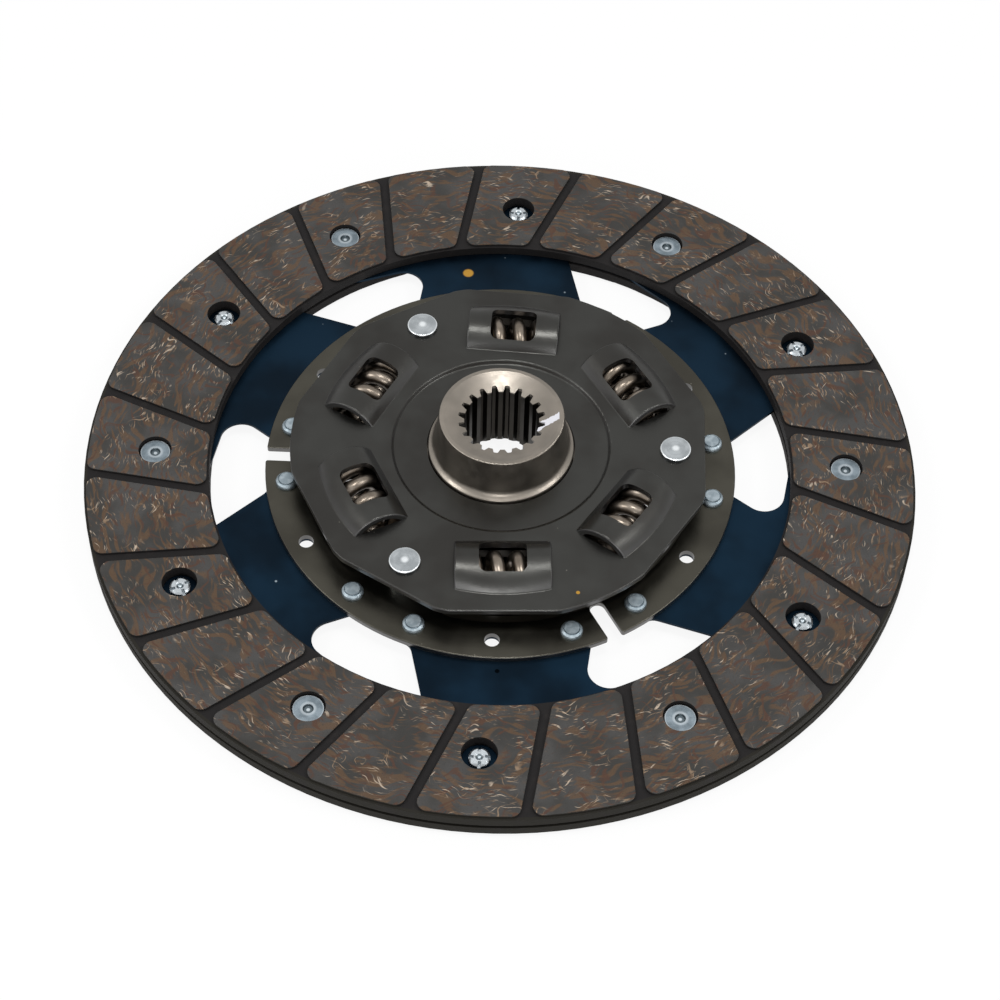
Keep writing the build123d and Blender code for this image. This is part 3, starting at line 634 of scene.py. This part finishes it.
def coil_spring(name, middle, tangent, crest):
    """A round wire wound on a helix whose pitch drops from open to closed near both ends.

    The wire's centre runs at the coil's radius, at an angle that grows with the distance along the
    axis divided by the pitch there. Points past the ground ends are brought back to their planes.
    """
    up = np.array((0.0, 0.0, 1.0))
    out = np.cross(tangent, up)
    closed_half = SPRING_LENGTH / 2 - END_INSET - ACTIVE_HALF
    half_turn = 2 * np.pi * (ACTIVE_HALF / COIL_PITCH + closed_half / END_PITCH)
    bend = 2 * np.pi * ACTIVE_HALF / COIL_PITCH
    turn = np.linspace(-half_turn, half_turn, int(RINGS_PER_TURN * half_turn / np.pi))
    open_part = np.clip(turn, -bend, bend) * COIL_PITCH / (2 * np.pi)
    closed_part = (turn - np.clip(turn, -bend, bend)) * END_PITCH / (2 * np.pi)
    along = open_part + closed_part
    turn = turn - 2 * np.pi * crest * MM / COIL_PITCH
    spoke = np.cos(turn)[:, None] * up + np.sin(turn)[:, None] * out
    line = along[:, None] * tangent + COIL_RADIUS * spoke
    way = np.gradient(line, axis=0)
    way /= np.linalg.norm(way, axis=1)[:, None]
    side = np.cross(way, spoke)
    round_angle = np.arange(ROUND_THE_WIRE) * 2 * np.pi / ROUND_THE_WIRE
    ring = np.cos(round_angle)[:, None] * spoke[:, None] + np.sin(round_angle)[:, None] * side[:, None]
    points = line[:, None] + WIRE / 2 * ring
    reach = points @ tangent
    ground = np.clip(reach, -SPRING_LENGTH / 2, SPRING_LENGTH / 2)
    points += (ground - reach)[..., None] * tangent
    tips = points[[0, -1]].mean(axis=1)

    here = np.arange(ROUND_THE_WIRE)
    after = (here + 1) % ROUND_THE_WIRE
    first = np.arange(len(line) - 1)[:, None] * ROUND_THE_WIRE
    second = first + ROUND_THE_WIRE
    quads = np.stack((first + here, first + after, second + after, second + here), axis=-1).reshape(-1, 4)
    start_tip = len(line) * ROUND_THE_WIRE
    last = start_tip - ROUND_THE_WIRE
    start_cap = np.stack((np.full_like(here, start_tip), after, here), axis=-1)
    end_cap = np.stack((np.full_like(here, start_tip + 1), last + here, last + after), axis=-1)
    vertices = np.concatenate((points.reshape(-1, 3), tips)) + middle
    mesh = bpy.data.meshes.new(name)
    mesh.from_pydata(vertices.tolist(), [], quads.tolist() + start_cap.tolist() + end_cap.tolist())
    mesh.polygons.foreach_set("use_smooth", np.ones(len(mesh.polygons), bool))
    mesh.set_sharp_from_angle(angle=CREASE)
    spring = bpy.data.objects.new(name, mesh)
    bpy.context.collection.objects.link(spring)
    return spring


wire_steel, *_ = steel(
    "oil_tempered_wire", WIRE_BRONZE, WIRE_GREY, patch=3.5, rough=(0.28, 0.36), grain=0.25, relief=0.04
)
spring_angles = sorted((pin * 120 + side * SPRING_MIDDLES) % 360 for pin in range(3) for side in (1, -1))
for number, (angle, crest) in enumerate(zip(spring_angles, CRESTS), 1):
    node = f"torsion_spring_{number}"
    low_corner, high_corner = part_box(node)
    spring_level = (low_corner[2] + high_corner[2]) / 2
    outward = np.array((np.cos(radians(angle)), np.sin(radians(angle)), 0.0))
    tangent = np.array((-outward[1], outward[0], 0.0))
    middle = outward * SPRING_CIRCLE + np.array((0.0, 0.0, spring_level))
    spring = coil_spring(f"coil_spring_{number}", middle, tangent, crest)
    spring.data.materials.append(wire_steel)
    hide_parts(node)
    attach(spring, "plates")
    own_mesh(spring)


# Retainer plate: the upper side plate, pressed from the same phosphated sheet, slit and domed over the
# springs. It is a little greyer than the disc plate, and has one ochre speck.
PLATE_DARK = "#393836"
PLATE_LIGHT = "#41413f"
OCHRE_SPECK = (47.0, -65.8, 9.3)
SPECK_RADIUS = 0.45                     # mm

retainer_finish, tree, place, shader = phosphated("phosphated_sheet_steel", PLATE_DARK, PLATE_LIGHT)
tint(tree, shader, MARK_OCHRE, dot(tree, place, OCHRE_SPECK, SPECK_RADIUS))
dress(retainer_finish, "retainer_plate")


# Stop pins: turned steel spacers, peened over at both ends. The tool leaves rings round the middle of
# each head; painted highlight gives its glint in the middle and its bright rim, and painted shade darkens
# its wall.
PIN_DARK = "#989da0"
PIN_LIGHT = "#b2b7ba"
# painted highlight for the glint and the rim
PIN_HIGHLIGHT = "#e4e8ea"
# painted shade on the head's wall
PIN_WALL_SHADE = "#7f8387"
PIN_CIRCLE = 41.8                       # mm
RING_PITCH = 0.45                       # mm
RING_LEVELS = (0.4, 0.7)                # noise levels at which a ring starts and is whole
RING_COVER = 0.5
PIN_GLINT = 1.2                         # mm from the pin's axis
PIN_RIM = 3.6                           # mm from the pin's axis
RIM_WIDTH = 0.3                         # mm
PIN_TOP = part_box("stop_pin_1")[1][2] / MM
WALL_TOP = PIN_TOP - RIM_WIDTH

for number in range(3):
    pin_steel, tree, place, shader = steel(
        f"peened_pin_steel_{number + 1}",
        PIN_DARK,
        PIN_LIGHT,
        patch=3,
        rough=(0.24, 0.34),
        grain=0.25,
        relief=0.03,
    )
    turn = radians(number * 120)
    centre = (PIN_CIRCLE * np.cos(turn), PIN_CIRCLE * np.sin(turn), 0)
    x, y, z = add(tree, "SeparateXYZ", {0: place}).outputs
    flat = add(tree, "CombineXYZ", {0: x, 1: y})
    away = add(tree, "VectorMath", {0: flat, 1: centre}, operation="DISTANCE")
    rings = add(tree, "TexNoise", {"W": away, "Scale": 1 / RING_PITCH}, noise_dimensions="1D")
    # turning rings, then painted highlights at the middle and the rim, and painted shade on the wall
    for value, start, whole, cover, code in (
        (rings, *RING_LEVELS, RING_COVER, PIN_DARK),
        (away, PIN_GLINT, PIN_GLINT / 3, 1.0, PIN_HIGHLIGHT),
        (away, PIN_RIM - RIM_WIDTH, PIN_RIM, 1.0, PIN_HIGHLIGHT),
        (z, WALL_TOP, WALL_TOP - 2 * SOFT_EDGE, 1.0, PIN_WALL_SHADE),
    ):
        edge = {0: value, 1: start, 2: whole, 4: cover}
        tint(tree, shader, code, add(tree, "MapRange", edge, interpolation_type="SMOOTHSTEP"))
    dress(pin_steel, f"stop_pin_{number + 1}")
